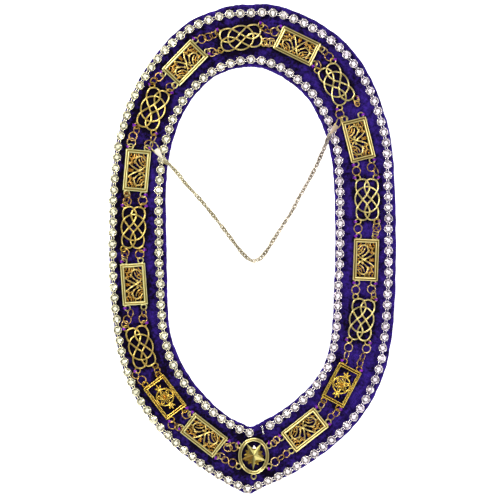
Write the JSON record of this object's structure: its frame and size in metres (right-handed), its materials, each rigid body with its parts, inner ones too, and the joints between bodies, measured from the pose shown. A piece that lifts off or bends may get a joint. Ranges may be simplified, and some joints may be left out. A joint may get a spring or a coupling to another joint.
{
  "type": "chain collar",
  "caption": "Ceremonial chain collar: a pointed velvet band with a gilt chain of pierced plates and knot links, rhinestone edging and a small safety chain.",
  "frame": {"origin": "middle of the underside, on the surface that the collar lies on", "axes": "+Z out of the collar's face, +Y towards the back of the neck, -Y towards the pointed front, +X to the right in the picture"},
  "size_m": [0.27, 0.461, 0.0142],
  "materials": {
    "velvet": "matte pile",
    "gilt": "bright gilding",
    "ring_gilt": "bright rose gilding",
    "rhinestone": "faceted glass in silvered cups",
    "silver": "bright silver"
  },
  "bodies": {
    "root": {"velvet_band": "velvet", "ornament_01_knot": "gilt", "ornament_02_scroll_plate": "gilt", "ornament_03_knot": "gilt", "ornament_04_scroll_plate": "gilt", "ornament_05_knot": "gilt", "ornament_06_scroll_plate": "gilt", "ornament_07_knot": "gilt", "ornament_08_emblem_plate": "gilt", "ornament_09_scroll_plate": "gilt", "ornament_10_medallion": "gilt", "ornament_11_scroll_plate": "gilt", "ornament_12_emblem_plate": "gilt", "ornament_13_knot": "gilt", "ornament_14_scroll_plate": "gilt", "ornament_15_knot": "gilt", "ornament_16_scroll_plate": "gilt", "ornament_17_knot": "gilt", "ornament_18_scroll_plate": "gilt", "strand_01_outer": "ring_gilt", "strand_01_inner": "ring_gilt", "strand_02_outer": "ring_gilt", "strand_02_inner": "ring_gilt", "strand_03_outer": "ring_gilt", "strand_03_inner": "ring_gilt", "strand_04_outer": "ring_gilt", "strand_04_inner": "ring_gilt", "strand_05_outer": "ring_gilt", "strand_05_inner": "ring_gilt", "strand_06_outer": "ring_gilt", "strand_06_inner": "ring_gilt", "strand_07_outer": "ring_gilt", "strand_07_inner": "ring_gilt", "strand_08_outer": "ring_gilt", "strand_08_inner": "ring_gilt", "strand_09_outer": "ring_gilt", "strand_09_inner": "ring_gilt", "strand_10_outer": "ring_gilt", "strand_10_inner": "ring_gilt", "strand_11_outer": "ring_gilt", "strand_11_inner": "ring_gilt", "strand_12_outer": "ring_gilt", "strand_12_inner": "ring_gilt", "strand_13_outer": "ring_gilt", "strand_13_inner": "ring_gilt", "strand_14_outer": "ring_gilt", "strand_14_inner": "ring_gilt", "strand_15_outer": "ring_gilt", "strand_15_inner": "ring_gilt", "strand_16_outer": "ring_gilt", "strand_16_inner": "ring_gilt", "strand_17_outer": "ring_gilt", "strand_17_inner": "ring_gilt", "strand_18_outer": "ring_gilt", "strand_18_inner": "ring_gilt", "outer_trim": "rhinestone", "inner_trim": "rhinestone", "safety_chain": "silver", "left_clip": "silver", "right_clip": "silver"}
  },
  "joints": []
}
